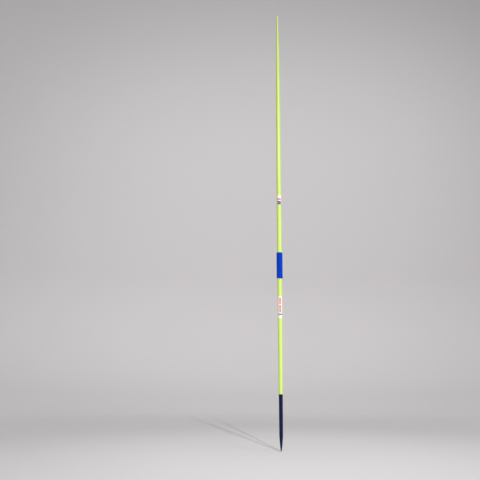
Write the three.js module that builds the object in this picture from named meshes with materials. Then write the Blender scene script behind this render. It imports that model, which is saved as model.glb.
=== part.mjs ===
// A throwing javelin of the 800 gram class, standing upright on its point.
// Millimetres, +Z up. The origin is the very tip of the point, +Z runs up the shaft to the tail, and the
// two stickers face -Y.
//
// From the tip up: a hard steel nose, a light alloy head shell, and a tapered alloy tube in two lengths
// that meet under the cord grip and end in a turned tail tip. A spigot joins the head to the tube, a
// sleeve joins the two lengths of tube, and a brass slug in the head trims the weight and the balance.
import * as THREE from "three";

// Driving sizes along the javelin. Heights are measured up from the tip.
const OVERALL_LENGTH = 2650;
const NOSE_LENGTH = 85;
const HEAD_LENGTH = 311;
const GRIP_MIDDLE = 1047.5;
const GRIP_LENGTH = 155;
const BELLY_BEFORE_GRIP = 20;
const TAIL_TIP_LENGTH = 50;

// Driving diameters of the outer surface.
const NOSE_BASE_DIAMETER = 20.8;
const HEAD_BASE_DIAMETER = 22.4;
const BELLY_DIAMETER = 28;
const TAIL_END_DIAMETER = 8;

// How full the outline is between those diameters: plain powers and shares, with no unit.
const NOSE_POWER = 0.5;
const FRONT_POWER = 1.15;
const TAIL_LATE_POWER = 5.3;
const TAIL_EARLY_SHARE = 0.25;

// Walls of the tubes.
const HEAD_WALL = 1.4;
const SHAFT_WALL = 1.17;

// Clearances: a glue line between a plug and its bore, a film of adhesive under a sticker or tape, the
// seat of the cord on the tape, and the fine groove where two lengths of the outer surface butt together.
const GLUE_GAP = 0.1;
const FILM_GAP = 0.1;
const CORD_SEAT_GAP = 0.3;
const BUTT_GAP = 0.3;

// The nose plugs into the head shell by a shank, and is drilled from behind to keep it light.
const NOSE_SHANK_LENGTH = 24;
const NOSE_BORE_DIAMETER = 12;
const NOSE_SOLID_LENGTH = 46;
const DRILL_POINT_LENGTH = 4;

// The pieces inside the tube.
const SLUG_LENGTH = 17;
const SPIGOT_IN_HEAD = 40;
const SPIGOT_IN_SHAFT = 52;
const SPIGOT_WALL = 1.8;
const SLEEVE_LENGTH = 120;
const SLEEVE_WALL = 1.2;
const TAIL_SHANK_LENGTH = 36;
const TAIL_END_ROUND = 0.9;

// The grip: a tape round the tube, and a flat cord wound over it in one layer.
const TAPE_THICKNESS = 0.3;
const TAPE_INSET = 2.5;
const CORD_WIDTH = 5.65;
const CORD_THICKNESS = 3.2;
const CORD_TURN_GAP = 0.6;
const CORD_FLAT_SHARE = 0.56;

// The two stickers. Their places are measured from the ends of the grip.
const LABEL_THICKNESS = 0.25;
const FRONT_LABEL_LENGTH = 127;
const FRONT_LABEL_WIDTH = 26;
const FRONT_LABEL_FROM_GRIP = 104;
const REAR_LABEL_LENGTH = 59.5;
const REAR_LABEL_WIDTH = 25;
const REAR_LABEL_FROM_GRIP = 287.5;
const LABEL_FACING = -Math.PI / 2;

// Counts that set how fine the faceted surfaces are.
const ROUND_STEPS = 36;
const NOSE_STEPS = 12;
const FRONT_STEPS = 5;
const REAR_STEPS = 14;
const TAIL_STEPS = 4;
const ROUNDING_STEPS = 4;
const LABEL_COLUMNS = 12;
const LABEL_ROWS = 4;
const STEPS_PER_TURN = 24;

// Heights that follow from the driving sizes.
const GRIP_START = GRIP_MIDDLE - GRIP_LENGTH / 2;
const GRIP_END = GRIP_MIDDLE + GRIP_LENGTH / 2;
const BELLY_HEIGHT = GRIP_START - BELLY_BEFORE_GRIP;
const TAIL_TIP_START = OVERALL_LENGTH - TAIL_TIP_LENGTH;

const paint = (name, color, roughness, metalness) =>
  new THREE.MeshStandardMaterial({ name, color, roughness, metalness });

const MATERIALS = {
  yellowPaint: paint("yellow_paint", "#cdf23f", 0.3, 0.0),
  navyPaint: paint("navy_paint", "#16244a", 0.35, 0.1),
  blueCord: paint("blue_cord", "#0f46c4", 0.85, 0.0),
  darkTape: paint("dark_tape", "#22262e", 0.8, 0.0),
  whiteVinyl: paint("white_vinyl", "#f4f4f1", 0.4, 0.0),
  bareAlloy: paint("bare_alloy", "#b9bcc0", 0.35, 0.9),
  brass: paint("brass", "#b5924a", 0.35, 0.9),
};

// The radius of the finished outside at a height: a blunt ogive nose, a straight taper on the head, a
// slightly full taper up to the belly ahead of the grip, and a long taper that quickens towards the tail.
function outerRadius(height) {
  if (height <= NOSE_LENGTH) {
    return (NOSE_BASE_DIAMETER / 2) * (height / NOSE_LENGTH) ** NOSE_POWER;
  }
  if (height <= HEAD_LENGTH) {
    const along = (height - NOSE_LENGTH) / (HEAD_LENGTH - NOSE_LENGTH);
    return THREE.MathUtils.lerp(NOSE_BASE_DIAMETER, HEAD_BASE_DIAMETER, along) / 2;
  }
  if (height <= BELLY_HEIGHT) {
    const ahead = (BELLY_HEIGHT - height) / (BELLY_HEIGHT - HEAD_LENGTH);
    return THREE.MathUtils.lerp(BELLY_DIAMETER, HEAD_BASE_DIAMETER, ahead ** FRONT_POWER) / 2;
  }
  const behind = Math.min((height - BELLY_HEIGHT) / (OVERALL_LENGTH - BELLY_HEIGHT), 1);
  const early = TAIL_EARLY_SHARE * behind ** 2;
  const late = (1 - TAIL_EARLY_SHARE) * behind ** TAIL_LATE_POWER;
  return THREE.MathUtils.lerp(BELLY_DIAMETER, TAIL_END_DIAMETER, early + late) / 2;
}

const headBoreRadius = (height) => outerRadius(height) - HEAD_WALL;
const shaftBoreRadius = (height) => outerRadius(height) - SHAFT_WALL;

// Points [radius, height] of an outline between two heights, evenly spaced, lower end first.
function outline(radiusAt, low, high, steps) {
  return Array.from({ length: steps + 1 }, (_, step) => {
    const height = THREE.MathUtils.lerp(low, high, step / steps);
    return [radiusAt(height), height];
  });
}

// Turns an outline of [radius, height] points round the javelin's axis. It runs up the outside first.
function turned(points) {
  const profile = points.map(([radius, height]) => new THREE.Vector2(radius, height));
  return new THREE.LatheGeometry(profile, ROUND_STEPS).rotateX(Math.PI / 2);
}

// A ring or tube: up the outside, down the inside and closed on its first point.
function turnedTube(outside, inside) {
  return turned([...outside, ...inside.toReversed(), outside[0]]);
}

// The steel nose: an ogive whose points crowd towards the tip, then a shank for the head shell, with a
// blind bore drilled from behind.
function noseGeometry() {
  const shankTop = NOSE_LENGTH + NOSE_SHANK_LENGTH;
  const boreRadius = NOSE_BORE_DIAMETER / 2;
  const shankRadius = (height) => headBoreRadius(height) - GLUE_GAP;
  const ogive = Array.from({ length: NOSE_STEPS }, (_, step) => {
    const height = NOSE_LENGTH * ((step + 1) / NOSE_STEPS) ** 2;
    return [outerRadius(height), height];
  });
  const shankFoot = NOSE_LENGTH + BUTT_GAP;
  return turned([
    [0, 0],
    ...ogive,
    [shankRadius(shankFoot), NOSE_LENGTH],
    [shankRadius(shankFoot), shankFoot],
    [shankRadius(shankTop), shankTop],
    [boreRadius, shankTop],
    [boreRadius, NOSE_SOLID_LENGTH + DRILL_POINT_LENGTH],
    [0, NOSE_SOLID_LENGTH],
  ]);
}

function headShellGeometry() {
  const foot = NOSE_LENGTH + BUTT_GAP;
  const outside = outline(outerRadius, foot, HEAD_LENGTH, 1);
  const inside = outline(headBoreRadius, foot, HEAD_LENGTH, 1);
  return turnedTube(outside, inside);
}

// The brass slug lies against the spigot's front end, inside the head shell.
function slugGeometry() {
  const top = HEAD_LENGTH - SPIGOT_IN_HEAD - BUTT_GAP;
  const foot = top - SLUG_LENGTH;
  const side = outline((height) => headBoreRadius(height) - GLUE_GAP, foot, top, 1);
  return turned([[0, foot], ...side, [0, top]]);
}

// The spigot is a hollow plug, half in the head shell and half in the tube, so it has two fits.
function spigotGeometry() {
  const foot = HEAD_LENGTH - SPIGOT_IN_HEAD;
  const joint = HEAD_LENGTH + BUTT_GAP / 2;
  const top = HEAD_LENGTH + SPIGOT_IN_SHAFT;
  const inHead = outline((height) => headBoreRadius(height) - GLUE_GAP, foot, HEAD_LENGTH, 1);
  const inShaft = outline((height) => shaftBoreRadius(height) - GLUE_GAP, joint, top, 1);
  const boreRadius = () => headBoreRadius(foot) - GLUE_GAP - SPIGOT_WALL;
  return turnedTube([...inHead, ...inShaft], outline(boreRadius, foot, top, 1));
}

function frontShaftGeometry() {
  const foot = HEAD_LENGTH + BUTT_GAP;
  const top = GRIP_MIDDLE - BUTT_GAP / 2;
  const outside = [
    ...outline(outerRadius, foot, BELLY_HEIGHT, FRONT_STEPS),
    [outerRadius(top), top],
  ];
  const inside = outside.map(([radius, height]) => [radius - SHAFT_WALL, height]);
  return turnedTube(outside, inside);
}

function rearShaftGeometry() {
  const foot = GRIP_MIDDLE + BUTT_GAP / 2;
  const outside = outline(outerRadius, foot, TAIL_TIP_START, REAR_STEPS);
  const inside = outside.map(([radius, height]) => [radius - SHAFT_WALL, height]);
  return turnedTube(outside, inside);
}

// The sleeve is a plain tube that fits the narrower of the two bores it reaches into.
function sleeveGeometry() {
  const foot = GRIP_MIDDLE - SLEEVE_LENGTH / 2;
  const top = GRIP_MIDDLE + SLEEVE_LENGTH / 2;
  const fitRadius = Math.min(shaftBoreRadius(foot), shaftBoreRadius(top)) - GLUE_GAP;
  const outside = outline(() => fitRadius, foot, top, 1);
  const inside = outline(() => fitRadius - SLEEVE_WALL, foot, top, 1);
  return turnedTube(outside, inside);
}

// The tail tip closes the tube: a shank inside it, then the last of the taper with a rounded end.
function tailTipGeometry() {
  const shankFoot = TAIL_TIP_START - TAIL_SHANK_LENGTH;
  const shoulder = TAIL_TIP_START + BUTT_GAP;
  const shankRadius = shaftBoreRadius(TAIL_TIP_START) - GLUE_GAP;
  const endRadius = outerRadius(OVERALL_LENGTH);
  const round = Math.min(TAIL_END_ROUND, endRadius);
  const taper = outline(outerRadius, shoulder, OVERALL_LENGTH - round, TAIL_STEPS);
  const rounding = Array.from({ length: ROUNDING_STEPS }, (_, step) => {
    const turn = ((step + 1) / ROUNDING_STEPS) * (Math.PI / 2);
    const inwards = round * (1 - Math.cos(turn));
    const upwards = round * Math.sin(turn);
    return [endRadius - inwards, OVERALL_LENGTH - round + upwards];
  });
  return turned([
    [0, shankFoot],
    [shankRadius, shankFoot],
    [shankRadius, shoulder],
    ...taper,
    ...rounding,
    [0, OVERALL_LENGTH],
  ]);
}

const tapeInnerRadius = (height) => outerRadius(height) + FILM_GAP;
const tapeOuterRadius = (height) => tapeInnerRadius(height) + TAPE_THICKNESS;

function tapeGeometry() {
  const foot = GRIP_START + TAPE_INSET;
  const top = GRIP_END - TAPE_INSET;
  return turnedTube(outline(tapeOuterRadius, foot, top, 1), outline(tapeInnerRadius, foot, top, 1));
}

// The cord's cross-section as [outwards, across] from its centre: flat inside and outside, with a blunt
// ridge on each edge.
function cordSection() {
  const halfThickness = CORD_THICKNESS / 2;
  const halfWidth = CORD_WIDTH / 2;
  const halfFlat = halfWidth * CORD_FLAT_SHARE;
  return [
    [halfThickness, halfFlat],
    [halfThickness, -halfFlat],
    [0, -halfWidth],
    [-halfThickness, -halfFlat],
    [-halfThickness, halfFlat],
    [0, halfWidth],
  ];
}

// The stations of the winding: one helix along the grip at a steady pitch, then a straight run of one
// cord thickness off each end. Each station has its centre, and the directions outwards from the
// javelin's axis, along the cord and across it.
function cordStations() {
  const pitch = CORD_WIDTH + CORD_TURN_GAP;
  const turns = (GRIP_LENGTH - CORD_WIDTH) / pitch;
  const steps = Math.round(turns * STEPS_PER_TURN);
  const radius = tapeOuterRadius(GRIP_START) + CORD_SEAT_GAP + CORD_THICKNESS / 2;
  const helix = Array.from({ length: steps + 1 }, (_, step) => {
    const wound = turns * (step / steps);
    const angle = wound * 2 * Math.PI;
    const height = GRIP_START + CORD_WIDTH / 2 + wound * pitch;
    const outwards = new THREE.Vector3(Math.cos(angle), Math.sin(angle), 0);
    const along = new THREE.Vector3(-Math.sin(angle), Math.cos(angle), pitch / (2 * Math.PI * radius));
    along.normalize();
    const across = new THREE.Vector3().crossVectors(outwards, along);
    return { centre: outwards.clone().multiplyScalar(radius).setZ(height), outwards, across, along };
  });
  const runOff = (station, distance) => ({
    ...station,
    centre: station.centre.clone().addScaledVector(station.along, distance),
  });
  return [runOff(helix[0], -CORD_THICKNESS), ...helix, runOff(helix[steps], CORD_THICKNESS)];
}

// The cord's section set up at each station, as one ring of points each.
function cordRings() {
  const section = cordSection();
  return cordStations().map(({ centre, outwards, across }) =>
    section.map(([out, side]) =>
      centre.clone().addScaledVector(outwards, out).addScaledVector(across, side),
    ),
  );
}

// Joins equal rings of points into one closed solid, with a fan over each end ring.
function joinedRings(rings) {
  const sides = rings[0].length;
  const points = rings.flat();
  const faces = [];
  for (let ring = 0; ring + 1 < rings.length; ring += 1) {
    for (let side = 0; side < sides; side += 1) {
      const a = ring * sides + side;
      const b = ring * sides + ((side + 1) % sides);
      faces.push(a, b, a + sides, b, b + sides, a + sides);
    }
  }
  const last = points.length - sides;
  for (let side = 1; side + 1 < sides; side += 1) {
    faces.push(0, side + 1, side);
    faces.push(last, last + side, last + side + 1);
  }
  const geometry = new THREE.BufferGeometry().setFromPoints(points);
  geometry.setIndex(faces);
  geometry.computeVertexNormals();
  return geometry;
}

// The least gap of the cord to itself: each ring's points against those of the rings from half a turn to
// one and a half turns further on.
function leastCordGap(rings) {
  const halfTurn = Math.round(STEPS_PER_TURN / 2);
  let least = Infinity;
  rings.forEach((ring, index) => {
    const others = rings.slice(index + halfTurn, index + STEPS_PER_TURN + halfTurn).flat();
    for (const point of ring) {
      for (const other of others) {
        least = Math.min(least, point.distanceTo(other));
      }
    }
  });
  return least;
}

function cordGeometry() {
  const rings = cordRings();
  console.log(`grip cord: least gap to itself ${leastCordGap(rings).toFixed(2)} mm`);
  return joinedRings(rings);
}

// A sticker bent round the tube: it follows the taper, and its width is measured round the surface. It
// starts as a flat plate whose X is the angle round the tube, Y the depth and Z the height.
function labelGeometry(foot, length, width) {
  const sweep = width / outerRadius(foot + length / 2);
  const plate = new THREE.BoxGeometry(sweep, LABEL_THICKNESS, length, LABEL_COLUMNS, 1, LABEL_ROWS);
  const places = plate.attributes.position;
  for (let index = 0; index < places.count; index += 1) {
    const angle = LABEL_FACING - places.getX(index);
    const height = foot + length / 2 + places.getZ(index);
    const radius = outerRadius(height) + FILM_GAP + LABEL_THICKNESS / 2 + places.getY(index);
    places.setXYZ(index, radius * Math.cos(angle), radius * Math.sin(angle), height);
  }
  plate.computeVertexNormals();
  return plate;
}

function frontLabelGeometry() {
  const foot = GRIP_START - FRONT_LABEL_FROM_GRIP - FRONT_LABEL_LENGTH;
  return labelGeometry(foot, FRONT_LABEL_LENGTH, FRONT_LABEL_WIDTH);
}

function rearLabelGeometry() {
  return labelGeometry(GRIP_END + REAR_LABEL_FROM_GRIP, REAR_LABEL_LENGTH, REAR_LABEL_WIDTH);
}

function piece(name, geometry, material) {
  const mesh = new THREE.Mesh(geometry, material);
  mesh.name = name;
  return mesh;
}

const head = new THREE.Group().add(
  piece("nose_point", noseGeometry(), MATERIALS.navyPaint),
  piece("head_shell", headShellGeometry(), MATERIALS.navyPaint),
  piece("balance_slug", slugGeometry(), MATERIALS.brass),
  piece("head_spigot", spigotGeometry(), MATERIALS.bareAlloy),
);

const shaft = new THREE.Group().add(
  piece("front_shaft", frontShaftGeometry(), MATERIALS.yellowPaint),
  piece("rear_shaft", rearShaftGeometry(), MATERIALS.yellowPaint),
  piece("centre_sleeve", sleeveGeometry(), MATERIALS.bareAlloy),
  piece("tail_tip", tailTipGeometry(), MATERIALS.yellowPaint),
);

const grip = new THREE.Group().add(
  piece("grip_tape", tapeGeometry(), MATERIALS.darkTape),
  piece("grip_cord", cordGeometry(), MATERIALS.blueCord),
);

const labels = new THREE.Group().add(
  piece("front_label", frontLabelGeometry(), MATERIALS.whiteVinyl),
  piece("rear_label", rearLabelGeometry(), MATERIALS.whiteVinyl),
);

const javelin = new THREE.Group().add(head, shaft, grip, labels);

export default javelin;
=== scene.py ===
# %% [markdown]
# # A throwing javelin, dressed in Blender
# The javelin is already built as solids: a steel nose, a head shell, a tapered tube in two lengths, a tail
# tip, a cord grip and two stickers. This lesson loads those solids as a fixed frame, and then makes the
# surfaces that a visitor sees: gloss paint on round walls, a grip of twisted cord, and printed vinyl.
# Everything is in metres. The point stands at the origin, +Z runs up to the tail, and the stickers face -Y.

# %% Load the frame
import math

import bmesh
import bpy
import numpy as np
from mathutils import Matrix, Vector


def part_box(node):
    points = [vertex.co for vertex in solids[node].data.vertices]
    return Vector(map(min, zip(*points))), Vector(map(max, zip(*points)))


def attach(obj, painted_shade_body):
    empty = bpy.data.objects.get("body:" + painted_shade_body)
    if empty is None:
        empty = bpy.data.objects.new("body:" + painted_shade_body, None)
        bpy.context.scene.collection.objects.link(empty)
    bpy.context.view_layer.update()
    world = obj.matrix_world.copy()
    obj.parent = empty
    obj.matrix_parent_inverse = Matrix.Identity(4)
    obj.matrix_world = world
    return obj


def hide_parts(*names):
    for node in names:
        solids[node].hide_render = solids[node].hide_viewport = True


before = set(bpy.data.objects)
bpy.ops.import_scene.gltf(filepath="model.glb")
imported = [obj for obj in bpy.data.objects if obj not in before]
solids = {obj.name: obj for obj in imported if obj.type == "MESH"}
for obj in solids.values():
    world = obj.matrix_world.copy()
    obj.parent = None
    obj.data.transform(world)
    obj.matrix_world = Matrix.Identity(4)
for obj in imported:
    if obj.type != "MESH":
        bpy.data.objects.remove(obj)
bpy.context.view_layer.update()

# %% [markdown]
# ## What the frame already knows
# A javelin is a chain of turned surfaces. The height where each piece ends and the radius it reaches are
# read from the boxes of the solids, so that the dressed surfaces can't drift away from what they cover.
# Only where the outline bends, how wide it ends at the tail and what lies inside are named again.

# %% Heights and radii, read from the solids
MM = 0.001
BUTT_GAP = 0.3 * MM
BELLY_HEIGHT = 950 * MM
TAIL_END_RADIUS = 4 * MM


def foot(node):
    """The lowest height of a solid."""
    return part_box(node)[0].z


def top(node):
    """The greatest height of a solid."""
    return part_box(node)[1].z


def reach(node):
    """How far a solid reaches sideways from the javelin's axis, along X."""
    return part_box(node)[1].x


NOSE_TOP = foot("head_shell") - BUTT_GAP
HEAD_TOP = top("head_shell")
TAIL_TOP = top("tail_tip")
NOSE_RADIUS = reach("nose_point")
HEAD_RADIUS = reach("head_shell")
BELLY_RADIUS = reach("front_shaft")
print(f"nose {NOSE_TOP:.3f} m, head {HEAD_TOP:.3f} m, belly {2 * BELLY_RADIUS / MM:.1f} mm across")

# %% [markdown]
# ## The outline as one formula
# The whole outside is one function of height: a blunt ogive for the nose, a straight taper for the head, a
# slightly full taper up to the belly ahead of the grip, and a long taper that quickens towards the tail.
# It could be drawn as a curve and spun, but a formula can be asked for the radius anywhere, and the
# stickers and the grip need just that.

# %% The outline formula
NOSE_POWER = 0.5
FRONT_POWER = 1.15
TAIL_LATE_POWER = 5.3
TAIL_EARLY_SHARE = 0.25
SAMPLE_HEIGHTS = (0.5 * NOSE_TOP, HEAD_TOP, 1.0, 1.8, 2.5)


def outer_radius(height):
    """The outer radius at each height.

    Nose: its base radius times the share of its length to a power. Head: a straight line. Front tube: the
    belly radius less a fall that grows with the distance ahead of the belly to a power. Rear tube: the
    belly radius less a fall that is part square and part high power of the distance behind the belly.
    """
    height = np.asarray(height, float)
    nose = NOSE_RADIUS * (np.clip(height, 0, NOSE_TOP) / NOSE_TOP) ** NOSE_POWER
    along = (height - NOSE_TOP) / (HEAD_TOP - NOSE_TOP)
    head = NOSE_RADIUS + (HEAD_RADIUS - NOSE_RADIUS) * along
    ahead = np.clip((BELLY_HEIGHT - height) / (BELLY_HEIGHT - HEAD_TOP), 0, 1)
    front = BELLY_RADIUS + (HEAD_RADIUS - BELLY_RADIUS) * ahead**FRONT_POWER
    behind = np.clip((height - BELLY_HEIGHT) / (TAIL_TOP - BELLY_HEIGHT), 0, 1)
    fall = TAIL_EARLY_SHARE * behind**2 + (1 - TAIL_EARLY_SHARE) * behind**TAIL_LATE_POWER
    rear = BELLY_RADIUS + (TAIL_END_RADIUS - BELLY_RADIUS) * fall
    places = [height <= NOSE_TOP, height <= HEAD_TOP, height <= BELLY_HEIGHT]
    return np.select(places, [nose, head, front], rear)


for height in SAMPLE_HEIGHTS:
    print(f"outline at {height:.3f} m: {2 * float(outer_radius(height)) / MM:.2f} mm across")

# %% [markdown]
# ## The camera
# The photograph looks slightly upwards from knee height, nearly four metres away, so the javelin narrows
# towards the top of the picture. The camera stands where that view was taken from: its turn about the
# javelin is chosen so that the stickers show a little to the right of the middle, as they do there.

# %% The camera
CAMERA_TURN = math.radians(-1.5)
CAMERA_BACK = 3.867
CAMERA_LEFT = 0.2328
CAMERA_HEIGHT = 0.417
CAMERA_PITCH = math.radians(11.45)
CAMERA_ROLL = math.radians(0.147)
LENS_MM = 50.0
VIEW_REACH = 100.0

forward = np.array([-math.sin(CAMERA_TURN), math.cos(CAMERA_TURN), 0.0])
rightward = np.array([math.cos(CAMERA_TURN), math.sin(CAMERA_TURN), 0.0])

camera_data = bpy.data.cameras.new("view_from_the_photograph")
camera_data.lens = LENS_MM
camera_data.clip_end = VIEW_REACH
camera = bpy.data.objects.new("view_from_the_photograph", camera_data)
bpy.context.collection.objects.link(camera)
camera.location = -CAMERA_BACK * forward - CAMERA_LEFT * rightward + [0, 0, CAMERA_HEIGHT]
turned = Matrix.Rotation(CAMERA_TURN, 3, "Z")
raised = Matrix.Rotation(math.pi / 2 + CAMERA_PITCH, 3, "X")
rolled = Matrix.Rotation(CAMERA_ROLL, 3, "Z")
camera.rotation_euler = (turned @ raised @ rolled).to_euler()
bpy.context.scene.camera = camera
print("camera at", [round(value, 3) for value in camera.location])

# %% [markdown]
# ## From arrays to a mesh
# Every surface below is a grid of points that numpy works out all at once. One helper turns such a grid
# into a mesh: each cell becomes a four-sided face, the grid can close on itself either way, and points
# that fall together, as at a pole, are welded so that the surface has no holes.

# %% Grid to mesh
WELD_DISTANCE = 1e-7
SHARP_ANGLE = math.radians(32.0)


def grid_faces(rows, columns, close_rows=False, close_columns=False):
    """Corner numbers of the cells of a grid, one cell per row of the answer, counted row by row."""
    row = np.arange(rows if close_rows else rows - 1)[:, None]
    column = np.arange(columns if close_columns else columns - 1)[None, :]
    next_row = (row + 1) % rows
    next_column = (column + 1) % columns
    corners = [row * columns + column, row * columns + next_column,
               next_row * columns + next_column, next_row * columns + column]
    return np.stack([np.broadcast_to(c, corners[2].shape) for c in corners], axis=-1).reshape(-1, 4)


def piece_from(name, points, faces, uv=None):
    """An object at the origin with these points and four-sided faces, smooth but for its real edges."""
    mesh = bpy.data.meshes.new(name)
    mesh.vertices.add(len(points))
    mesh.vertices.foreach_set("co", np.ascontiguousarray(points, np.float32).ravel())
    mesh.loops.add(faces.size)
    mesh.loops.foreach_set("vertex_index", faces.astype(np.int32).ravel())
    mesh.polygons.add(len(faces))
    mesh.polygons.foreach_set("loop_start", np.arange(0, faces.size, 4, dtype=np.int32))
    mesh.update(calc_edges=True)
    if uv is not None:
        layer = mesh.uv_layers.new(name="surface")
        layer.data.foreach_set("uv", np.ascontiguousarray(uv, np.float32).ravel())
    welder = bmesh.new()
    welder.from_mesh(mesh)
    bmesh.ops.remove_doubles(welder, verts=welder.verts, dist=WELD_DISTANCE)
    bmesh.ops.dissolve_degenerate(welder, edges=welder.edges, dist=WELD_DISTANCE)
    welder.to_mesh(mesh)
    open_edges = sum(1 for edge in welder.edges if not edge.is_manifold)
    welder.free()
    mesh.polygons.foreach_set("use_smooth", np.ones(len(mesh.polygons), bool))
    mesh.set_sharp_from_angle(angle=SHARP_ANGLE)
    thing = bpy.data.objects.new(name, mesh)
    bpy.context.collection.objects.link(thing)
    print(f"{name}: {len(mesh.vertices)} points, {len(mesh.polygons)} faces, {open_edges} open edges")
    return thing


def dress(thing, node):
    """Puts a new surface in a solid's place: the solid is hidden and the surface rides on the root body."""
    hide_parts(node)
    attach(thing, "root")
    return thing


# %% [markdown]
# ## Turned pieces
# Nose, head, tubes and tail tip are all made on a lathe or drawn over a mandrel, so each is a profile
# carried round the axis. The profile runs up the outside and, on a tube, down the bore and back to its
# start. The corners get a fine break, as a turner would leave them, and that makes the joints read as
# fine lines in the gloss.

# %% The lathe
ROUND_COLUMNS = 96
EDGE_BREAK = 0.12 * MM
JOINT_LINE = 0.03 * MM


def turned_piece(name, profile, hollow):
    """A surface of revolution: the point at angle a has x = r cos a, y = r sin a and z = height."""
    angle = np.arange(ROUND_COLUMNS) * (2 * np.pi / ROUND_COLUMNS)
    radius, height = profile[:, 0:1], profile[:, 1:2]
    x = radius * np.cos(angle)
    y = radius * np.sin(angle)
    z = np.broadcast_to(height, x.shape)
    points = np.stack([x, y, z], axis=-1).reshape(-1, 3)
    faces = grid_faces(len(profile), ROUND_COLUMNS, close_rows=hollow, close_columns=True)
    return piece_from(name, points, faces)


def broken_outside(low, high, rings):
    """Profile points up the outside from low to high, with a small break at each end."""
    height = np.linspace(low + EDGE_BREAK, high - EDGE_BREAK, rings)
    radius = outer_radius(height)
    ends = np.array([[radius[0] - EDGE_BREAK, low], [radius[-1] - EDGE_BREAK, high]])
    return np.concatenate([ends[:1], np.stack([radius, height], axis=1), ends[1:]])


def tube_profile(low, high, wall, rings):
    """Up the outside and down the bore, which keeps the same wall all the way."""
    outside = broken_outside(low, high, rings)
    height = np.linspace(high, low, rings // 2)
    bore = np.stack([outer_radius(height) - wall, height], axis=1)
    return np.concatenate([outside, bore])


# %% [markdown]
# ### The nose
# The nose is hard steel, because it strikes the ground. Its curve starts almost square to the axis, so
# the rings crowd towards the tip: their heights go with the square of their number.

# %% The nose
HEAD_WALL = 1.4 * MM
GLUE_GAP = 0.1 * MM
NOSE_BORE_RADIUS = 6 * MM
NOSE_BORE_FOOT = 46 * MM
DRILL_POINT = 4 * MM
NOSE_RINGS = 40

nose_height = NOSE_TOP * np.linspace(0, 1, NOSE_RINGS) ** 2
nose_height[-1] -= EDGE_BREAK
shank_foot = NOSE_TOP + BUTT_GAP
shank_top = top("nose_point")
shank_radius = outer_radius([shank_foot, shank_top]) - HEAD_WALL - GLUE_GAP
nose_profile = np.concatenate([
    np.stack([outer_radius(nose_height), nose_height], axis=1),
    [[NOSE_RADIUS - EDGE_BREAK, NOSE_TOP],
     [shank_radius[0], NOSE_TOP],
     [shank_radius[1], shank_top],
     [NOSE_BORE_RADIUS, shank_top],
     [NOSE_BORE_RADIUS, NOSE_BORE_FOOT + DRILL_POINT],
     [0, NOSE_BORE_FOOT]],
])
nose = dress(turned_piece("steel_nose", nose_profile, hollow=False), "nose_point")

# %% [markdown]
# ### The head shell and the two tubes
# The head shell and the tubes are drawn metal with one wall all the way, and differ only in their ends. So
# one profile function serves all three, and more rings go where the outline bends more.

# %% The head shell and the tubes
SHAFT_WALL = 1.17 * MM
HEAD_RINGS = 24
FRONT_RINGS = 60
REAR_RINGS = 140

head_profile = tube_profile(NOSE_TOP + JOINT_LINE, HEAD_TOP, HEAD_WALL, HEAD_RINGS)
head = dress(turned_piece("painted_head_shell", head_profile, hollow=True), "head_shell")

front_profile = tube_profile(HEAD_TOP + JOINT_LINE, top("front_shaft"), SHAFT_WALL, FRONT_RINGS)
front_tube = dress(turned_piece("painted_front_tube", front_profile, hollow=True), "front_shaft")

rear_profile = tube_profile(foot("rear_shaft"), top("rear_shaft"), SHAFT_WALL, REAR_RINGS)
rear_tube = dress(turned_piece("painted_rear_tube", rear_profile, hollow=True), "rear_shaft")

# %% [markdown]
# ### The tail tip
# The tail tip is a solid plug. Its shank sits inside the tube, and what shows goes on with the tube's
# taper. The turner rounds its end, so that it can't catch a hand: a quarter circle in the profile.

# %% The tail tip
TAIL_END_ROUND = 0.9 * MM
TAIL_RINGS = 16
ROUNDING_STEPS = 8

tail_shoulder = top("rear_shaft") + JOINT_LINE
tail_height = np.linspace(tail_shoulder + EDGE_BREAK, TAIL_TOP - TAIL_END_ROUND, TAIL_RINGS)
tail_shank_radius = float(outer_radius(top("rear_shaft"))) - SHAFT_WALL - GLUE_GAP
quarter = np.linspace(0, np.pi / 2, ROUNDING_STEPS + 1)[1:]
tail_profile = np.concatenate([
    [[0, foot("tail_tip")],
     [tail_shank_radius, foot("tail_tip")],
     [tail_shank_radius, tail_shoulder],
     [float(outer_radius(tail_shoulder)) - EDGE_BREAK, tail_shoulder]],
    np.stack([outer_radius(tail_height), tail_height], axis=1),
    np.stack([TAIL_END_RADIUS - TAIL_END_ROUND * (1 - np.cos(quarter)),
              TAIL_TOP - TAIL_END_ROUND * (1 - np.sin(quarter))], axis=1),
    [[0, TAIL_TOP]],
])
tail_tip = dress(turned_piece("turned_tail_tip", tail_profile, hollow=False), "tail_tip")

# %% [markdown]
# ## The grip
# The grip is one length of cord, three strands twisted together, wound round the shaft in a single layer
# and glued. It could be a plain tube with a bumpy material, but the turns show on the outline, so they
# are real. The cord's middle line is a helix, and tiny waves in it keep the turns from looking machined.

# %% The cord's path
CORD_TURNS = 48.2
CORD_START = math.radians(-118.0)
STEPS_PER_TURN = 98
CORD_SEAT = 0.05 * MM
TURN_SHARE = 0.985
WAVE_SIZE = 0.035 * MM
WAVE_COUNTS = (3, 7, 11, 17)
CORD_SEED = 11

grip_foot, grip_top = foot("grip_cord"), top("grip_cord")
cord_pitch = (grip_top - grip_foot) / (CORD_TURNS + TURN_SHARE)
cord_half_width = cord_pitch * TURN_SHARE / 2
cord_inner = reach("grip_tape") + CORD_SEAT
cord_half_depth = (reach("grip_cord") - cord_inner) / 2
cord_centre = cord_inner + cord_half_depth

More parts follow.
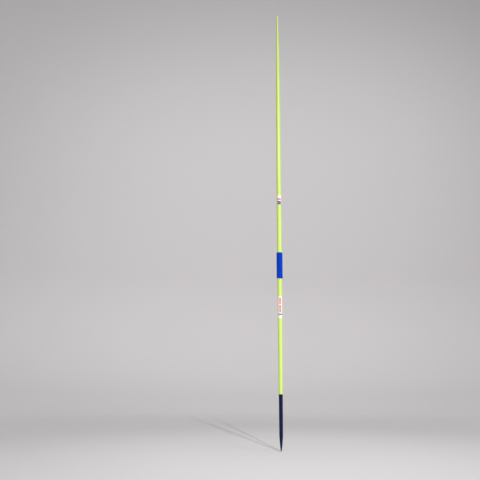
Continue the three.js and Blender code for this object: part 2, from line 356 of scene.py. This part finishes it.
turn = np.linspace(0, CORD_TURNS, round(CORD_TURNS * STEPS_PER_TURN) + 1)
phase = np.random.default_rng(CORD_SEED).uniform(0, 2 * np.pi, len(WAVE_COUNTS))
waves = sum(np.sin(turn * 2 * np.pi * count / CORD_TURNS + p) for count, p in zip(WAVE_COUNTS, phase))
cord_angle = CORD_START + turn * 2 * np.pi
cord_height = grip_foot + cord_half_width + turn * cord_pitch + WAVE_SIZE * waves
cord_length = CORD_TURNS * math.hypot(2 * np.pi * cord_centre, cord_pitch)
print(f"cord: {CORD_TURNS} turns at {cord_pitch / MM:.2f} mm, {cord_length:.2f} m long")

# %% [markdown]
# A round section swept along that helix would look like wire. This one is the outside of three round
# strands laid together, and it turns steadily on its way, which is what twists them. At both ends it
# shrinks towards the tape, as the end of a cord does that is pressed down in glue.

# %% The cord's section and surface
STRANDS = 3
CORD_COLUMNS = 18
STRAND_SIZE_SHARE = 0.62
TWIST_LENGTH = 11 * MM
END_TAPER_STEPS = 9
END_TAPER_SHARE = 0.35


def strand_edge(angle):
    """How far the section reaches at an angle, as a share of the cord's half width.

    It is the far side of the nearest of three equal circles whose centres stand round the middle:
    c cos a + sqrt(s squared - (c sin a) squared), with a counted from the nearest strand.
    """
    sector = 2 * np.pi / STRANDS
    off = (angle + sector / 2) % sector - sector / 2
    centre = 1 - STRAND_SIZE_SHARE
    return centre * np.cos(off) + np.sqrt(STRAND_SIZE_SHARE**2 - (centre * np.sin(off)) ** 2)


step_length = cord_length / (len(turn) - 1)
twist = 2 * np.pi * step_length / TWIST_LENGTH * np.arange(len(turn))
around = np.arange(CORD_COLUMNS) * (2 * np.pi / CORD_COLUMNS)
section_angle = twist[:, None] + around[None, :]
share = strand_edge(around)[None, :]
steps_from_end = np.minimum(np.arange(len(turn)), np.arange(len(turn))[::-1])
taper = np.clip(steps_from_end / END_TAPER_STEPS, 0, 1)
swell = END_TAPER_SHARE + (1 - END_TAPER_SHARE) * np.sqrt(1 - (1 - taper) ** 2)

outwards = np.stack([np.cos(cord_angle), np.sin(cord_angle), np.zeros_like(turn)], axis=1)
along = np.gradient(np.concatenate([outwards[:, :2] * cord_centre, cord_height[:, None]], axis=1), axis=0)
along /= np.linalg.norm(along, axis=1, keepdims=True)
across = np.cross(along, outwards)
centre_radius = cord_inner + cord_half_depth * swell
middle = outwards * centre_radius[:, None] + np.stack([0 * turn, 0 * turn, cord_height], axis=1)
out_part = cord_half_depth * swell[:, None] * share * np.cos(section_angle)
across_part = cord_half_width * swell[:, None] * share * np.sin(section_angle)
cord_points = (middle[:, None, :] + out_part[..., None] * outwards[:, None, :]
               + across_part[..., None] * across[:, None, :])
cord_ends = np.repeat(middle[[0, -1]][:, None, :], CORD_COLUMNS, axis=1)
cord_points = np.concatenate([cord_ends[:1], cord_points, cord_ends[1:]])
print(f"cord section: {2 * cord_half_width / MM:.2f} by {2 * cord_half_depth / MM:.2f} mm")

# %% [markdown]
# The cord carries its own coordinates, so that its fibres can follow the strands: U goes once round the
# section and V runs along the cord, both counted on the surface and not in space.

# %% The wound cord
cord_faces = grid_faces(len(cord_points), CORD_COLUMNS, close_columns=True)
face_row, face_column = np.divmod(np.arange(len(cord_faces)), CORD_COLUMNS)
corner_row = face_row[:, None] + np.array([0, 0, 1, 1])
corner_column = face_column[:, None] + np.array([0, 1, 1, 0])
cord_uv = np.stack([corner_column / CORD_COLUMNS, corner_row * step_length], axis=-1)
grip = piece_from("wound_grip_cord", cord_points.reshape(-1, 3), cord_faces, cord_uv)
dress(grip, "grip_cord")

# %% [markdown]
# ## The stickers
# Each sticker is a sheet of white vinyl with round corners, wrapped round the tube. It is a flat grid
# whose rows draw in near the ends to round the corners, bent to the tube's own radius at each height.
# Near its edge the thickness falls to nothing, as a rolled-down sticker's does, so the front and the back
# meet there in one line and the sheet is a closed solid.

# %% The sticker surface
STICKER_THICKNESS = 0.25 * MM
FILM_GAP = 0.1 * MM
CORNER_RADIUS = 3 * MM
EDGE_ROLL = 0.35 * MM
EDGE_STEPS = 6
STICKER_COLUMNS = 40
STICKER_ROWS = 90


def eased(count, edge, length):
    """Places from 0 to length that crowd into the edge at both ends, for a smooth roll there."""
    near = edge * (1 - np.cos(np.linspace(0, np.pi / 2, EDGE_STEPS)))
    middle = np.linspace(near[-1], length - near[-1], count - 2 * EDGE_STEPS + 2)
    return np.concatenate([near[:-1], middle, (length - near[:-1])[::-1]])


def sticker(name, node):
    """A thin sheet bent round the tube.

    At height h and arc place x from its middle line, a point has the radius of the tube plus the film
    and the thickness, and the angle x over that radius, counted from -Y. The thickness follows a quarter
    circle from the edge inwards.
    """
    low, high = foot(node), top(node)
    rows, columns = STICKER_ROWS, STICKER_COLUMNS
    middle_radius = float(outer_radius((low + high) / 2))
    outer_face = middle_radius + FILM_GAP + STICKER_THICKNESS
    width = 2 * math.asin(reach(node) / outer_face) * middle_radius
    height = eased(rows, EDGE_ROLL, high - low)
    from_end = np.minimum(height, high - low - height)
    into_corner = np.clip(CORNER_RADIUS - from_end, 0, CORNER_RADIUS)
    half_width = width / 2 - CORNER_RADIUS + np.sqrt(CORNER_RADIUS**2 - into_corner**2)
    half_width = half_width[:, None]
    arc = (eased(columns, EDGE_ROLL, width) / width * 2 - 1)[None, :] * half_width
    from_side = half_width - np.abs(arc)
    edge_share = np.clip(np.minimum(from_side, from_end[:, None]) / EDGE_ROLL, 0, 1)
    thickness = STICKER_THICKNESS * np.sqrt(1 - (1 - edge_share) ** 2)
    surface_radius = outer_radius(low + height)[:, None] + FILM_GAP
    angle = arc / surface_radius - np.pi / 2
    tall = np.broadcast_to((low + height)[:, None], angle.shape)

    def wrapped(radius):
        return np.stack([radius * np.cos(angle), radius * np.sin(angle), tall], axis=-1).reshape(-1, 3)

    back_number = np.arange(columns * rows) + columns * rows
    front = grid_faces(rows, columns)
    back = back_number[front[:, ::-1]]
    place = np.stack([arc + width / 2, np.broadcast_to(height[:, None], arc.shape)], axis=-1).reshape(-1, 2)
    uv = place[np.concatenate([front, front[:, ::-1]])]
    points = np.concatenate([wrapped(surface_radius + thickness), wrapped(surface_radius)])
    thing = piece_from(name, points, np.concatenate([front, back]), uv)
    print(f"{name}: {width / MM:.1f} by {(high - low) / MM:.1f} mm")
    return dress(thing, node), width


front_sticker, front_width = sticker("front_sticker", "front_label")
rear_sticker, rear_width = sticker("rear_sticker", "rear_label")

# %% [markdown]
# ## Writing materials as sums
# A material is a net of nodes, and most of the net is arithmetic. Wiring it by hand hides the sums, so a
# small class wraps one output of a node and lets Python's operators add the Math nodes. Every other node
# comes from one method, which sets the node's settings first and then its sockets.

# %% Wires and finishes
GLOSS_IOR = 1.5


class Wire:
    """One output in a material's nodes. Arithmetic and comparison on it add Math nodes."""

    def __init__(self, finish, socket):
        self.finish = finish
        self.socket = socket

    def maths(self, operation, first, second=0.0):
        return self.finish.node("Math", {"operation": operation}, {0: first, 1: second})

    def __add__(self, other):
        return self.maths("ADD", self, other)

    def __radd__(self, other):
        return self.maths("ADD", other, self)

    def __sub__(self, other):
        return self.maths("SUBTRACT", self, other)

    def __rsub__(self, other):
        return self.maths("SUBTRACT", other, self)

    def __mul__(self, other):
        return self.maths("MULTIPLY", self, other)

    def __rmul__(self, other):
        return self.maths("MULTIPLY", other, self)

    def __truediv__(self, other):
        return self.maths("DIVIDE", self, other)

    def __rtruediv__(self, other):
        return self.maths("DIVIDE", other, self)

    def __pow__(self, other):
        return self.maths("POWER", self, other)

    def __rpow__(self, other):
        return self.maths("POWER", other, self)

    def __lt__(self, other):
        return self.maths("LESS_THAN", self, other)

    def __gt__(self, other):
        return self.maths("GREATER_THAN", self, other)

    def fraction(self):
        return self.maths("FRACT", self)

    def cosine(self):
        return self.maths("COSINE", self)

    def between(self, low, high):
        """One inside the range and nought outside it."""
        return (self > low) * (self < high)

    def step(self, low, high):
        """Rises smoothly from nought at low to one at high."""
        settings = {"interpolation_type": "SMOOTHSTEP"}
        return self.finish.node("MapRange", settings, {"Value": self, "From Min": low, "From Max": high})


class Finish:
    """A material in the making, with a Principled shader at its end."""

    def __init__(self, name):
        self.material = bpy.data.materials.new(name)
        self.material.use_nodes = True
        self.tree = self.material.node_tree
        self.shader = self.tree.nodes["Principled BSDF"]
        self.set(self.shader, {"IOR": GLOSS_IOR})

    def set(self, node, sockets):
        for key, value in sockets.items():
            if isinstance(value, Wire):
                self.tree.links.new(value.socket, node.inputs[key])
            else:
                node.inputs[key].default_value = value

    def node(self, kind, settings, sockets, output=0):
        """Adds a node: its settings, then its sockets from wires or plain values, then one output."""
        node = self.tree.nodes.new("ShaderNode" + kind)
        for key, value in settings.items():
            setattr(node, key, value)
        self.set(node, sockets)
        return Wire(self, node.outputs[output])

    def place(self):
        """Where a point of the surface is, in metres."""
        return self.node("TexCoord", {}, {}, "Object")

    def stretched(self, vector, scale):
        return self.node("Mapping", {}, {"Vector": vector, "Scale": scale})

    def noise(self, vector, scale, detail, roughness=0.5):
        sockets = {"Vector": vector, "Scale": scale, "Detail": detail, "Roughness": roughness}
        return self.node("TexNoise", {}, sockets)

    def parts(self, vector):
        """The X, Y and Z of a vector."""
        split = self.node("SeparateXYZ", {}, {"Vector": vector})
        return [Wire(self, output) for output in split.socket.node.outputs]

    def mix(self, first, second, factor):
        """A colour between two colours: sockets 6 and 7 of a Mix node are those, output 2 is the mix."""
        return self.node("Mix", {"data_type": "RGBA"}, {0: factor, 6: first, 7: second}, 2)

    def bump(self, height, distance, strength):
        """A normal bent by a height from nought to one, which stands for that distance in metres."""
        return self.node("Bump", {}, {"Height": height, "Distance": distance, "Strength": strength})

    def finished(self, **sockets):
        """Sets the shader's sockets, named with underscores for spaces, and hands over the material."""
        self.set(self.shader, {key.replace("_", " "): value for key, value in sockets.items()})
        return self.material


print("wires and finishes are ready")

# %% [markdown]
# ## The tube's paint
# The tube is sprayed in a fluorescent yellow green and has a clear gloss over it. Three things keep it
# from looking like plastic: the faint orange peel that sprayed lacquer dries with, a very slow drift of
# the colour where one pass of the gun overlaps the next, and hairline scuffs that run along the tube,
# because that is how a javelin slides into its bag.

# %% Yellow paint
YELLOW = (0.575, 0.77, 0.14, 1.0)
YELLOW_THIN = (0.60, 0.79, 0.18, 1.0)
DRIFT_SCALE = 14.0
DRIFT_STRETCH = (1.0, 1.0, 0.35)
DRIFT_RANGE = (0.35, 0.7)
DRIFT_TINT = 0.6
PEEL_SCALE = 420.0
PEEL_DEPTH = 0.02 * MM
SCUFF_SCALE = 2600.0
SCUFF_STRETCH = (1.0, 1.0, 0.012)
SCUFF_RANGE = (0.62, 0.72)
SCUFF_TINT = 0.35
SCUFF_PATCH_SCALE = 11.0
SCUFF_PATCH_RANGE = (0.52, 0.68)
YELLOW_ROUGHNESS = 0.30
SCUFF_DULLS = 0.2
DRIFT_DULLS = 0.06


def yellow_paint():
    paint = Finish("yellow_paint")
    place = paint.place()
    drift = paint.noise(paint.stretched(place, DRIFT_STRETCH), DRIFT_SCALE, detail=1.0)
    peel = paint.noise(place, PEEL_SCALE, detail=1.0)
    hairs = paint.noise(paint.stretched(place, SCUFF_STRETCH), SCUFF_SCALE, detail=2.0)
    patches = paint.noise(place, SCUFF_PATCH_SCALE, detail=2.0)
    scuffs = hairs.step(*SCUFF_RANGE) * patches.step(*SCUFF_PATCH_RANGE)
    thin = drift.step(*DRIFT_RANGE) * DRIFT_TINT + scuffs * SCUFF_TINT
    return paint.finished(
        Base_Color=paint.mix(YELLOW, YELLOW_THIN, thin),
        Roughness=YELLOW_ROUGHNESS + scuffs * SCUFF_DULLS + drift * DRIFT_DULLS,
        Coat_Weight=0.4,
        Coat_Roughness=0.16,
        Normal=paint.bump(peel, PEEL_DEPTH, strength=0.5),
    )


# %% [markdown]
# ## The head's paint
# The head is dark blue, harder and less shiny than the tube. Nose and shell share one finish, made for
# their two pieces together: the turning marks of the lathe show faintly through it, grit has left fine
# scratches along it, and at the very tip the paint has gone and the steel shows.

# %% Navy paint
NAVY = (0.0040, 0.0105, 0.046, 1.0)
NAVY_WORN = (0.018, 0.032, 0.085, 1.0)
BARE_STEEL = (0.30, 0.31, 0.33, 1.0)
MARK_SCALE = 1400.0
MARK_STRETCH = (0.02, 0.02, 1.0)
MARK_DEPTH = 0.02 * MM
SCRATCH_SCALE = 1900.0
SCRATCH_STRETCH = (1.0, 1.0, 0.02)
SCRATCH_RANGE = (0.6, 0.7)
SCRATCH_PATCH_SCALE = 22.0
SCRATCH_PATCH_RANGE = (0.45, 0.65)
SCRATCHED_HEIGHTS = (0.02, 0.16)
SCRATCHES_HIGH_UP = 0.25
SCRATCH_TINT = 0.8
PATCH_TINT = 0.1
NAVY_ROUGHNESS = 0.34
SCRATCH_DULLS = 0.2
PATCH_DULLS = 0.06
MARK_RISE = 0.5
CHIP_SCALE = 330.0
BARE_METALLIC = 0.9
TIP_WEAR_HEIGHT = 4 * MM
WEAR_RAGGEDNESS = 5 * MM
WEAR_EDGE = 0.5 * MM


def navy_paint():
    paint = Finish("navy_paint")
    place = paint.place()
    height = paint.parts(place)[2]
    marks = paint.noise(paint.stretched(place, MARK_STRETCH), MARK_SCALE, detail=1.0)
    hairs = paint.noise(paint.stretched(place, SCRATCH_STRETCH), SCRATCH_SCALE, detail=2.0)
    patches = paint.noise(place, SCRATCH_PATCH_SCALE, detail=3.0)
    low_down = 1.0 - height.step(*SCRATCHED_HEIGHTS)
    how_many = SCRATCHES_HIGH_UP + low_down * (1 - SCRATCHES_HIGH_UP)
    scratches = hairs.step(*SCRATCH_RANGE) * patches.step(*SCRATCH_PATCH_RANGE) * how_many
    chips = paint.noise(place, CHIP_SCALE, detail=4.0, roughness=0.65)
    ragged = height + chips * WEAR_RAGGEDNESS
    bare = 1.0 - ragged.step(TIP_WEAR_HEIGHT - WEAR_EDGE, TIP_WEAR_HEIGHT)
    painted = paint.mix(NAVY, NAVY_WORN, scratches * SCRATCH_TINT + patches * PATCH_TINT)
    return paint.finished(
        Base_Color=paint.mix(painted, BARE_STEEL, bare),
        Metallic=bare * BARE_METALLIC,
        Roughness=NAVY_ROUGHNESS + scratches * SCRATCH_DULLS + patches * PATCH_DULLS,
        Specular_IOR_Level=0.08,
        Normal=paint.bump(marks * MARK_RISE + scratches, MARK_DEPTH, strength=0.6),
    )


# %% [markdown]
# ## The cord
# The cord is dyed blue and dull. Its fibres run along each strand and so do the small changes of colour,
# which is why the pattern reads the cord's own U and V. Between the strands the colour is painted darker,
# a painted shade for the light that gets down there less, and handling has made their crowns a little
# paler.

# %% Blue cord
CORD_BLUE = (0.0008, 0.076, 0.71, 1.0)
# Painted shade: the dark blue that is painted into the grooves between the strands.
CORD_PAINTED_SHADE = (0.0005, 0.028, 0.31, 1.0)
CORD_WORN = (0.004, 0.11, 0.84, 1.0)
FIBRE_STRETCH = (60.0, 700.0, 1.0)
FIBRE_DEPTH = 0.12 * MM
DYE_STRETCH = (3.0, 45.0, 1.0)
DYE_RANGE = (0.3, 0.7)
PAINTED_SHADE_RANGE = (-0.1, 0.55)
CROWN_RANGE = (0.6, 1.0)
WORN_TINT = 0.55
CORD_ROUGHNESS = 0.78
FIBRE_DULLS = 0.14


def blue_cord():
    cord = Finish("blue_cord")
    place = cord.node("UVMap", {"uv_map": "surface"}, {})
    round_it = cord.parts(place)[0]
    fibres = cord.noise(cord.stretched(place, FIBRE_STRETCH), 1.0, detail=3.0)
    dye = cord.noise(cord.stretched(place, DYE_STRETCH), 1.0, detail=2.0)
    crown = 0.5 + (round_it * (2 * math.pi * STRANDS)).cosine() * 0.5
    # Painted shade: the colour darkens from the strands' crowns into the grooves between them.
    painted_shade_body = cord.mix(CORD_PAINTED_SHADE, CORD_BLUE, crown.step(*PAINTED_SHADE_RANGE))
    handled = crown.step(*CROWN_RANGE) * dye.step(*DYE_RANGE) * WORN_TINT
    return cord.finished(
        Base_Color=cord.mix(painted_shade_body, CORD_WORN, handled),
        Roughness=CORD_ROUGHNESS + fibres * FIBRE_DULLS,
        Sheen_Weight=0.015,
        Sheen_Roughness=0.5,
        Specular_IOR_Level=0.06,
        Normal=cord.bump(fibres, FIBRE_DEPTH, strength=0.7),
    )


# %% [markdown]
# ## The tape under the cord
# Dark tape shows only as thin lines between the turns. It is a rubbery weave, and a weave is rows and
# columns that cross, so the product of cosines of the place draws it without any picture.

# %% Dark tape
TAPE_DARK = (0.012, 0.014, 0.02, 1.0)
TAPE_PALE = (0.03, 0.034, 0.045, 1.0)
WEAVE_PITCH = 0.7 * MM
WEAVE_DEPTH = 0.1 * MM
TAPE_ROUGHNESS = 0.8
WEAVE_DULLS = 0.1


def dark_tape():
    tape = Finish("dark_tape")
    x, y, height = tape.parts(tape.place())
    threads = 2 * math.pi / WEAVE_PITCH
    rows = (height * threads).cosine()
    columns = (x * threads).cosine() * (y * threads).cosine()
    weave = rows * columns * 0.5 + 0.5
    return tape.finished(
        Base_Color=tape.mix(TAPE_DARK, TAPE_PALE, weave),
        Roughness=TAPE_ROUGHNESS + weave * WEAVE_DULLS,
        Normal=tape.bump(weave, WEAVE_DEPTH, strength=0.6),
    )


# %% [markdown]
# ## The stickers' print
# The vinyl is white under a thin clear film. The print is plain shapes in two inks: on the long sticker two
# stacks of red bars over a row of dark blue squares, on the short one red dashes over two broad dark
# bands. Each shape is a test on the sheet's own places in metres, so it keeps its real size. Rows of
# squares and dashes are counted from the sheet's middle, so that none is cut at its sides.

# %% White vinyl with its print
VINYL = (0.81, 0.80, 0.78, 1.0)
VINYL_AGED = (0.76, 0.75, 0.69, 1.0)
RED_INK = (0.80, 0.055, 0.035, 1.0)
NAVY_INK = (0.018, 0.045, 0.18, 1.0)
BAR_PITCH = 7.2 * MM
BAR_SHARE = 0.78
BAR_FIELDS = ((34 * MM, 75.6 * MM), (82 * MM, 116.4 * MM))
BAR_WIDTH = 11 * MM
BAR_OFFSET = 0.6 * MM
SQUARE_FIELD = (17.5 * MM, 26.5 * MM)
SQUARE_PITCH = 7.4 * MM
SQUARE_SHARE = 0.8
SQUARES_ACROSS = 3
DASH_FIELD = (29 * MM, 41 * MM)
DASH_PITCH = 7.2 * MM
DASH_SHARE = 0.84
DASHES_ACROSS = 3
BAND_FIELDS = ((2 * MM, 12.2 * MM), (13 * MM, 23.5 * MM))
SIDE_MARGIN = 2 * MM
GRAIN_SCALE = 900.0
YELLOWING_SCALE = 60.0
YELLOWING_RANGE = (0.4, 0.8)
YELLOWING_TINT = 0.4
INK_COVER = 0.92
INK_DEPTH = 0.012 * MM
INK_RISE = 0.4
GRAIN_RISE = 0.6
VINYL_ROUGHNESS = 0.32
GRAIN_DULLS = 0.08


def printed_vinyl(name, ink):
    """White vinyl. ink is given the finish and the places across and up the sheet, and gives two masks."""
    vinyl = Finish(name)
    place = vinyl.node("UVMap", {"uv_map": "surface"}, {})
    across, up, _ = vinyl.parts(place)
    red, navy = ink(across, up)
    grain = vinyl.noise(vinyl.place(), GRAIN_SCALE, detail=2.0)
    yellowing = vinyl.noise(vinyl.place(), YELLOWING_SCALE, detail=2.0)
    sheet = vinyl.mix(VINYL, VINYL_AGED, yellowing.step(*YELLOWING_RANGE) * YELLOWING_TINT)
    cover = INK_COVER + grain * (1 - INK_COVER)
    with_red = vinyl.mix(sheet, RED_INK, red * cover)
    relief = grain * GRAIN_RISE + (red + navy) * INK_RISE
    return vinyl.finished(
        Base_Color=vinyl.mix(with_red, NAVY_INK, navy * cover),
        Roughness=VINYL_ROUGHNESS + grain * GRAIN_DULLS,
        Coat_Weight=0.3,
        Coat_Roughness=0.15,
        Normal=vinyl.bump(relief, INK_DEPTH, strength=0.6),
    )


def row_of(across, width, pitch, share, count):
    """A row of equal blocks about the middle of a sheet, as a mask across it."""
    places = (across - (width - count * pitch) / 2) / pitch
    return places.between(0, count) * places.fraction().between((1 - share) / 2, (1 + share) / 2)


def front_print(across, up):
    middle = front_width / 2 + BAR_OFFSET
    in_column = across.between(middle - BAR_WIDTH / 2, middle + BAR_WIDTH / 2)
    bars = sum(up.between(low, high) * (((up - low) / BAR_PITCH).fraction() < BAR_SHARE)
               for low, high in BAR_FIELDS)
    squares = row_of(across, front_width, SQUARE_PITCH, SQUARE_SHARE, SQUARES_ACROSS)
    return in_column * bars, squares * up.between(*SQUARE_FIELD)


def rear_print(across, up):
    dashes = row_of(across, rear_width, DASH_PITCH, DASH_SHARE, DASHES_ACROSS)
    bands = sum(up.between(*field) for field in BAND_FIELDS)
    return dashes * up.between(*DASH_FIELD), bands * across.between(SIDE_MARGIN, rear_width - SIDE_MARGIN)


# %% [markdown]
# ## What hides inside
# The spigot, the sleeve and the slug are the solids themselves. Nobody sees them until the javelin comes
# apart, but a bench photograph would show bare metal straight from the lathe, so they get fine rings of
# turning marks and the slight unevenness of unpolished stock.

# %% Turned metal
ALLOY = (0.50, 0.52, 0.54, 1.0)
ALLOY_DULL = (0.36, 0.37, 0.39, 1.0)
BRASS = (0.55, 0.36, 0.11, 1.0)
BRASS_DULL = (0.36, 0.22, 0.07, 1.0)
RING_SCALE = 2400.0
RING_STRETCH = (0.01, 0.01, 1.0)
RING_DEPTH = 0.02 * MM
STAIN_SCALE = 90.0
STAIN_RANGE = (0.4, 0.75)
STAIN_TINT = 0.7
RING_TINT = 0.2
METAL_ROUGHNESS = 0.28
RING_DULLS = 0.14
STAIN_DULLS = 0.1


def turned_metal(name, bright, dull):
    metal = Finish(name)
    place = metal.place()
    rings = metal.noise(metal.stretched(place, RING_STRETCH), RING_SCALE, detail=2.0)
    stains = metal.noise(place, STAIN_SCALE, detail=3.0)
    dulled = stains.step(*STAIN_RANGE) * STAIN_TINT + rings * RING_TINT
    return metal.finished(
        Base_Color=metal.mix(bright, dull, dulled),
        Metallic=1.0,
        Roughness=METAL_ROUGHNESS + rings * RING_DULLS + stains * STAIN_DULLS,
        Normal=metal.bump(rings, RING_DEPTH, strength=0.6),
    )


# %% [markdown]
# ## Putting the finishes on
# New surfaces take one material each. The solids that no new surface stands for have theirs put in the
# material slot that they already have, so nothing of the frame itself is changed.

# %% Materials onto pieces
finishes = [
    (yellow_paint(), [front_tube, rear_tube, tail_tip]),
    (navy_paint(), [nose, head]),
    (blue_cord(), [grip]),
    (printed_vinyl("front_print", front_print), [front_sticker]),
    (printed_vinyl("rear_print", rear_print), [rear_sticker]),
    (dark_tape(), [solids["grip_tape"]]),
    (turned_metal("turned_alloy", ALLOY, ALLOY_DULL), [solids["head_spigot"], solids["centre_sleeve"]]),
    (turned_metal("turned_brass", BRASS, BRASS_DULL), [solids["balance_slug"]]),
]
for material, things in finishes:
    for thing in things:
        if thing.material_slots:
            thing.material_slots[0].material = material
        else:
            thing.data.materials.append(material)
print(f"{len(finishes)} materials on {sum(len(things) for _, things in finishes)} pieces")

# %% [markdown]
# ## The studio
# A pale floor runs into a pale wall through a wide cove, all round, so that any view has the same quiet
# ground. It is a profile turned about the javelin like everything else, only very large. The floor's colour
# is painted palest round the point and darker outwards to the wall's grey, a painted pool of light, and
# the high wall is painted darker, a painted shade. It is no part of the object.

# %% Floor and wall
STAGE_RADIUS = 5.2
COVE_RADIUS = 1.7
WALL_HEIGHT = 7.0
COVE_STEPS = 32
STAGE_COLUMNS = 160
FLOOR_RINGS = (0.5, 2.0)
WALL_GREY = (0.53, 0.515, 0.52, 1.0)
# Painted pool of light: the floor is painted paler near the point.
PAINTED_POOL_FLOOR_GREY = (0.625, 0.61, 0.615, 1.0)
# Painted shade: the high wall is painted darker.
PAINTED_SHADE_HIGH_WALL_GREY = (0.46, 0.445, 0.45, 1.0)
PAINTED_POOL_FADE = (0.45, 2.1)
PAINTED_SHADE_HEIGHTS = (3.2, 7.0)

cove = np.linspace(0, np.pi / 2, COVE_STEPS)
stage_profile = np.concatenate([
    [[0.0, 0.0], *([radius, 0.0] for radius in FLOOR_RINGS)],
    np.stack([STAGE_RADIUS - COVE_RADIUS * (1 - np.sin(cove)), COVE_RADIUS * (1 - np.cos(cove))], axis=1),
    [[STAGE_RADIUS, WALL_HEIGHT]],
])
stage_angle = np.arange(STAGE_COLUMNS) * (2 * np.pi / STAGE_COLUMNS)
stage_radius, stage_height = stage_profile[:, 0:1], stage_profile[:, 1:2]
stage_x = stage_radius * np.cos(stage_angle)
stage_y = stage_radius * np.sin(stage_angle)
stage_z = np.broadcast_to(stage_height, stage_x.shape)
stage_points = np.stack([stage_x, stage_y, stage_z], axis=-1).reshape(-1, 3)
stage_faces = grid_faces(len(stage_profile), STAGE_COLUMNS, close_columns=True)[:, ::-1]
studio = piece_from("studio_sweep", stage_points, stage_faces)


def studio_grey():
    grey = Finish("studio_grey")
    x, y, height = grey.parts(grey.place())
    away = (x * x + y * y) ** 0.5
    # Painted pool of light and painted shade: a paler floor near the point and a darker high wall.
    low = grey.mix(PAINTED_POOL_FLOOR_GREY, WALL_GREY, away.step(*PAINTED_POOL_FADE))
    colour = grey.mix(low, PAINTED_SHADE_HIGH_WALL_GREY, height.step(*PAINTED_SHADE_HEIGHTS))
    return grey.finished(Base_Color=colour, Roughness=0.9, Specular_IOR_Level=0.1)


studio.data.materials.append(studio_grey())

# %% [markdown]
# ## The lights
# The photograph has a broad soft light to the right, which shades the left edge of the tube, and two
# small strong ones behind the camera, whose thin shadows run away to the left. Those two are suns,
# because a sun lights the javelin alike from the point to the tail, and its shadow still softens with
# distance as that of a real lamp does. The broad light and the suns stand outside the studio, so its
# walls are told to cast no shadow.

# %% How a lamp is placed
SUN_BREADTH = math.radians(0.45)


def light_object(name, kind, energy):
    """A new light of a kind, with its power, linked into the scene."""
    data = bpy.data.lights.new(name, kind)
    data.energy = energy
    thing = bpy.data.objects.new(name, data)
    bpy.context.collection.objects.link(thing)
    return thing


def facing(turn_right, elevation):
    """The turn of a lamp that shines on the javelin from right of the camera and above it."""
    return (math.pi / 2 - math.radians(elevation), 0.0, CAMERA_TURN + math.radians(turn_right))


def round_lamp(name, size, energy):
    """A round area lamp that the camera can't see."""
    thing = light_object(name, "AREA", energy)
    thing.data.shape = "DISK"
    thing.data.size = size
    thing.visible_camera = False
    return thing


def sun(name, turn_right, elevation, energy):
    """A far lamp with parallel rays. Its breadth is the angle that its disc fills."""
    thing = light_object(name, "SUN", energy)
    thing.data.angle = SUN_BREADTH
    thing.rotation_euler = facing(turn_right, elevation)


print(f"a sun fills {math.degrees(SUN_BREADTH):.2f} degrees of the sky")

# %% [markdown]
# A spot above the javelin washes the wall and never reaches the javelin's front, a small lamp brightens
# the floor before it, and the sky fills the rest. A sun from behind, which casts no shadow, keeps the
# far side readable in views from there.

# %% The lights
SKY_BLUE = (0.93, 0.95, 1.0, 1.0)
SKY_STRENGTH = 0.20
BROAD_LIGHT_SIZE = 4.6
BROAD_LIGHT_DISTANCE = 9.0
AIM_HEIGHT = 1.2
FLOOR_LAMP_SIZE = 1.4
FLOOR_LAMP_HEIGHT = 2.6
FLOOR_LAMP_AHEAD = -2.2
WASH_HEIGHT = 4.2
WASH_AHEAD = 0.8
WASH_ASIDE = 0.3
WASH_SPREAD = math.radians(110.0)
WASH_SOFTNESS = 0.4

broad_light = round_lamp("broad_light", BROAD_LIGHT_SIZE, energy=375.0)
broad_light.rotation_euler = facing(turn_right=44.0, elevation=15.0)
backwards = broad_light.rotation_euler.to_matrix() @ Vector((0, 0, 1))
broad_light.location = backwards * BROAD_LIGHT_DISTANCE + Vector((0, 0, AIM_HEIGHT))

sun("near_light", turn_right=13.2, elevation=38.0, energy=0.86)
sun("far_light", turn_right=9.2, elevation=39.5, energy=0.62)
sun("back_light", turn_right=180.0, elevation=26.0, energy=0.85)
bpy.data.lights["back_light"].use_shadow = False

floor_lamp = round_lamp("floor_lamp", FLOOR_LAMP_SIZE, energy=31.0)
floor_lamp.location = FLOOR_LAMP_AHEAD * forward + [0, 0, FLOOR_LAMP_HEIGHT]

wash = light_object("wall_wash", "SPOT", energy=200.0)
wash.data.spot_size = WASH_SPREAD
wash.data.spot_blend = 1.0
wash.data.shadow_soft_size = WASH_SOFTNESS
wash.location = WASH_AHEAD * forward + WASH_ASIDE * rightward + [0, 0, WASH_HEIGHT]
wash.rotation_euler = facing(turn_right=0.0, elevation=17.0)

studio.visible_shadow = False

world = bpy.data.worlds.new("sky_fill")
world.use_nodes = True
world.node_tree.nodes["Background"].inputs["Color"].default_value = SKY_BLUE
world.node_tree.nodes["Background"].inputs["Strength"].default_value = SKY_STRENGTH
bpy.context.scene.world = world
bpy.context.scene.view_settings.view_transform = "Standard"
print(f"{len(bpy.data.lights)} lights placed")
